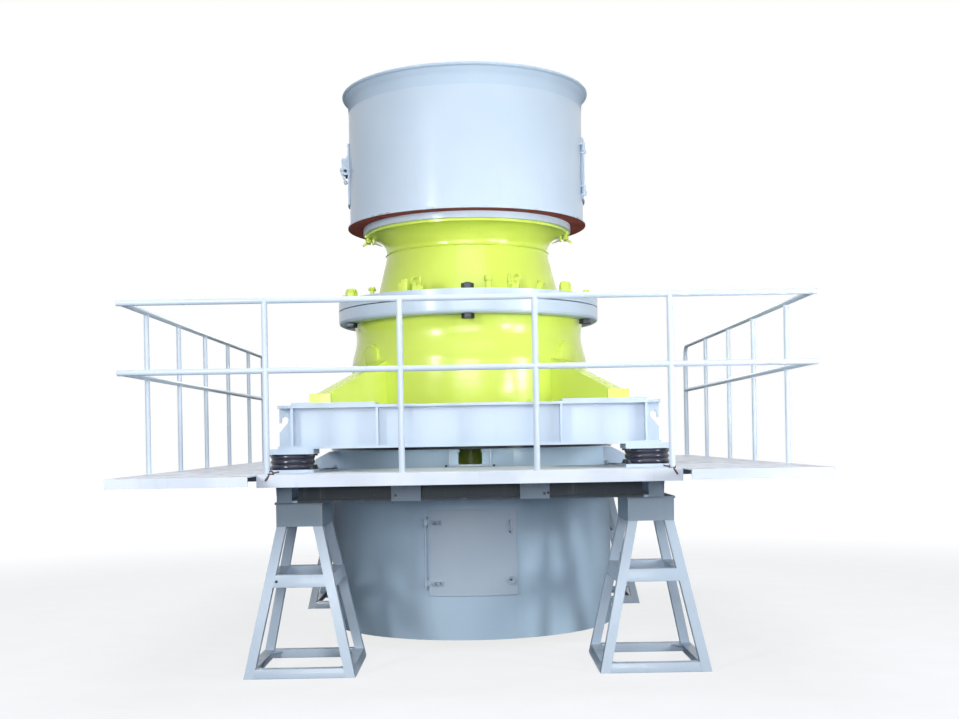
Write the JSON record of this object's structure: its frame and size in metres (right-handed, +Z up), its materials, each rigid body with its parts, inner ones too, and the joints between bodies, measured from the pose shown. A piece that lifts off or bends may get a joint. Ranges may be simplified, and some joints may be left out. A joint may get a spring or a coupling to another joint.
{
  "type": "cone crusher",
  "caption": "Single-cylinder cone crusher with a round feed hopper, dust chute, leaning-leg stands and an access deck with railings.",
  "frame": {"origin": "on the ground under the crusher's vertical axis, which is the middle of the footprint", "axes": "+Z up, -Y towards the chute hatch and front walkway, +X to the right seen from the front"},
  "size_m": [4.286, 5.34, 4.241],
  "materials": {
    "green_paint": "glossy yellow-green paint on castings and plate",
    "blue_paint": "glossy pale blue-grey paint on rolled steel",
    "red_primer": "matte red oxide primer",
    "rubber": "satin black rubber",
    "dark_steel": "dark oiled cast iron",
    "bare_steel": "bare manganese steel"
  },
  "bodies": {
    "plant": {"stand_legs": "blue_paint", "stand_rails": "blue_paint", "stand_top_boxes": "blue_paint", "support_side_beams": "blue_paint", "support_cross_beams": "blue_paint", "deck_brackets": "blue_paint", "deck_front_walkway": "blue_paint", "deck_left_walkway": "blue_paint", "deck_right_walkway": "blue_paint", "top_rails": "blue_paint", "mid_rails": "blue_paint", "railing_posts": "blue_paint", "frame_end_beams": "blue_paint", "frame_side_beams": "blue_paint", "frame_pads": "blue_paint", "lifting_hooks": "blue_paint", "isolator_plates": "blue_paint", "isolator_rubbers": "rubber", "lower_shell": "green_paint", "shell_arms": "green_paint", "lower_flange_ring": "blue_paint", "upper_flange_ring": "blue_paint", "flange_bolts": "green_paint", "upper_shell": "green_paint", "upper_shell_mouth": "green_paint", "spider": "green_paint", "concave_liner": "bare_steel", "mantle": "bare_steel", "bottom_hub": "dark_steel", "adjusting_cylinder": "green_paint", "countershaft_housing": "green_paint", "drive_pulley": "dark_steel", "hopper_seat_ring": "blue_paint", "hopper_floor_ring": "red_primer", "hopper_wall_front": "blue_paint", "hopper_wall_rear": "blue_paint", "hopper_wall_sides": "blue_paint", "hopper_lip": "blue_paint", "chute_wall_left": "blue_paint", "chute_wall_rear": "blue_paint", "chute_wall_right": "blue_paint", "chute_wall_front": "blue_paint", "chute_seal": "rubber", "chute_brackets": "blue_paint", "door_hinges": "blue_paint"},
    "hopper_door_left": {"hopper_door_left": "blue_paint"},
    "hopper_door_right": {"hopper_door_right": "blue_paint"},
    "chute_hatch": {"chute_hatch": "blue_paint"}
  },
  "joints": [
    {"name": "hopper_door_left_hinge", "type": "hinge", "parent": "plant", "child": "hopper_door_left", "pos_m": [-0.86552, 0.4036, 3.616], "axis": [0, 0, -1], "range_deg": [0, 110]},
    {"name": "hopper_door_right_hinge", "type": "hinge", "parent": "plant", "child": "hopper_door_right", "pos_m": [0.92246, -0.24717, 3.616], "axis": [0, 0, -1], "range_deg": [0, 110]},
    {"name": "chute_hatch_hinge", "type": "hinge", "parent": "plant", "child": "chute_hatch", "pos_m": [-0.33297, -1.07564, 0.6975], "axis": [0, 0, -1], "range_deg": [0, 110]}
  ]
}
